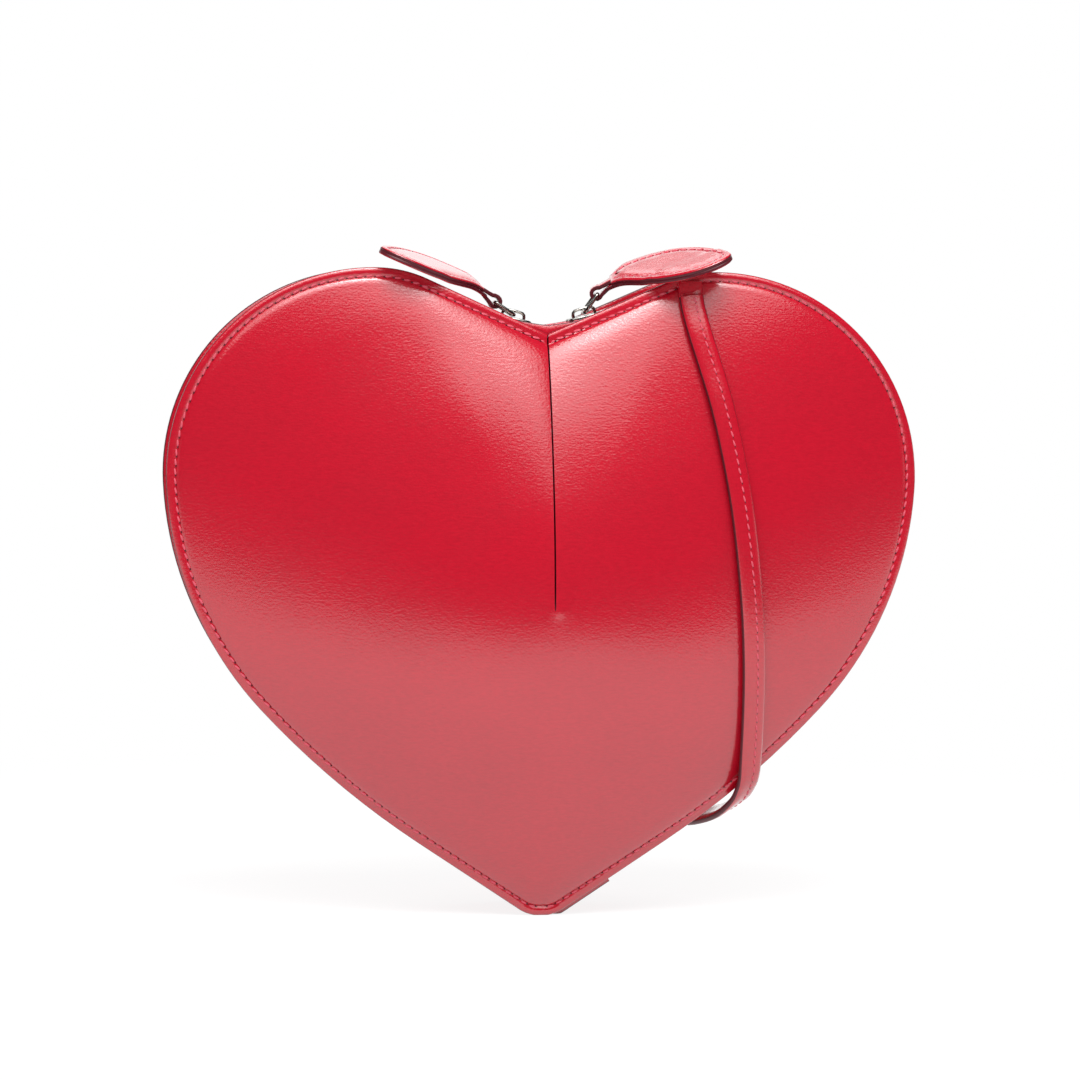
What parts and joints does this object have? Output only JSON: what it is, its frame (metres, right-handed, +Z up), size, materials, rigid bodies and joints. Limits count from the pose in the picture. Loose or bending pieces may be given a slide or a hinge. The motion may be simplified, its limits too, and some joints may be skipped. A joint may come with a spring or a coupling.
{
  "type": "heart-shaped handbag",
  "caption": "Heart-shaped domed leather crossbody bag with a two-way top zip, petal pulls on both sliders and a thin leather strap",
  "frame": {"origin": "on the floor under the middle of the pointed tip, midway between the two panels", "axes": "+Z up from the tip to the notch, the front panel faces -Y, +X to the right seen from the front"},
  "size_m": [0.2178, 0.0879, 0.1933],
  "materials": {
    "red_leather": "smooth polished calf leather, satin gloss, painted dark red edges",
    "lining_cloth": "plain woven cotton",
    "zip_tape": "herringbone woven tape",
    "nickel": "polished nickel plate"
  },
  "bodies": {
    "back_half": {"back_panel": "red_leather", "back_lining": "lining_cloth", "slip_pocket": "lining_cloth", "strip_back_left": "red_leather", "strip_back_right": "red_leather", "band_left": "red_leather", "band_right": "red_leather", "tape_back": "zip_tape", "teeth_back": "nickel", "cap_left": "red_leather", "cap_right": "red_leather", "strap_end_back": "red_leather", "strap_under": "red_leather", "strap_hank": "red_leather", "strap_rise": "red_leather", "keeper": "red_leather"},
    "front_half": {"front_panel": "red_leather", "front_lining": "lining_cloth", "strip_front_left": "red_leather", "strip_front_right": "red_leather", "tape_front": "zip_tape", "teeth_front": "nickel", "strap_end_front": "red_leather", "strap_front": "red_leather"},
    "slider_left": {"slider_left": "nickel"},
    "slider_right": {"slider_right": "nickel"},
    "link_left": {"link_left": "nickel"},
    "link_right": {"link_right": "nickel"},
    "tab_left": {"tab_left_base": "red_leather", "tab_left_top": "red_leather"},
    "tab_right": {"tab_right_base": "red_leather", "tab_right_top": "red_leather"}
  },
  "joints": [
    {"name": "mouth_open", "type": "hinge", "parent": "back_half", "child": "front_half", "pos_m": [0, -0.013, 0], "axis": [1, 0, 0], "range_deg": [0, 8], "deforming": ["tape_front", "teeth_front", "strap_front"]},
    {"name": "slider_left_travel", "type": "hinge", "parent": "back_half", "child": "slider_left", "pos_m": [-0.0516, 0, 0.08701], "axis": [0, -1, 0], "range_deg": [0, 38], "deforming": ["teeth_front", "teeth_back", "tape_front", "tape_back"]},
    {"name": "slider_right_travel", "type": "hinge", "parent": "back_half", "child": "slider_right", "pos_m": [0.0516, 0, 0.09689], "axis": [0, 1, 0], "range_deg": [0, 39], "deforming": ["teeth_front", "teeth_back", "tape_front", "tape_back"]},
    {"name": "link_left_swing", "type": "hinge", "parent": "slider_left", "child": "link_left", "pos_m": [-0.00826, 0, 0.17376], "axis": [0, 1, 0], "range_deg": [0, 55]},
    {"name": "link_right_swing", "type": "hinge", "parent": "slider_right", "child": "link_right", "pos_m": [0.01247, 0, 0.17474], "axis": [0, -1, 0], "range_deg": [0, 48]},
    {"name": "tab_left_swing", "type": "hinge", "parent": "link_left", "child": "tab_left", "pos_m": [-0.01379, 0, 0.17735], "axis": [0, 1, 0], "range_deg": [0, 14]},
    {"name": "tab_right_swing", "type": "hinge", "parent": "link_right", "child": "tab_right", "pos_m": [0.01626, 0, 0.18015], "axis": [0, -1, 0], "range_deg": [0, 20]}
  ],
  "couplings": [
    {"joint": "slider_left_travel", "follows": "mouth_open", "ratio": 4.64},
    {"joint": "slider_right_travel", "follows": "mouth_open", "ratio": 4.8}
  ]
}
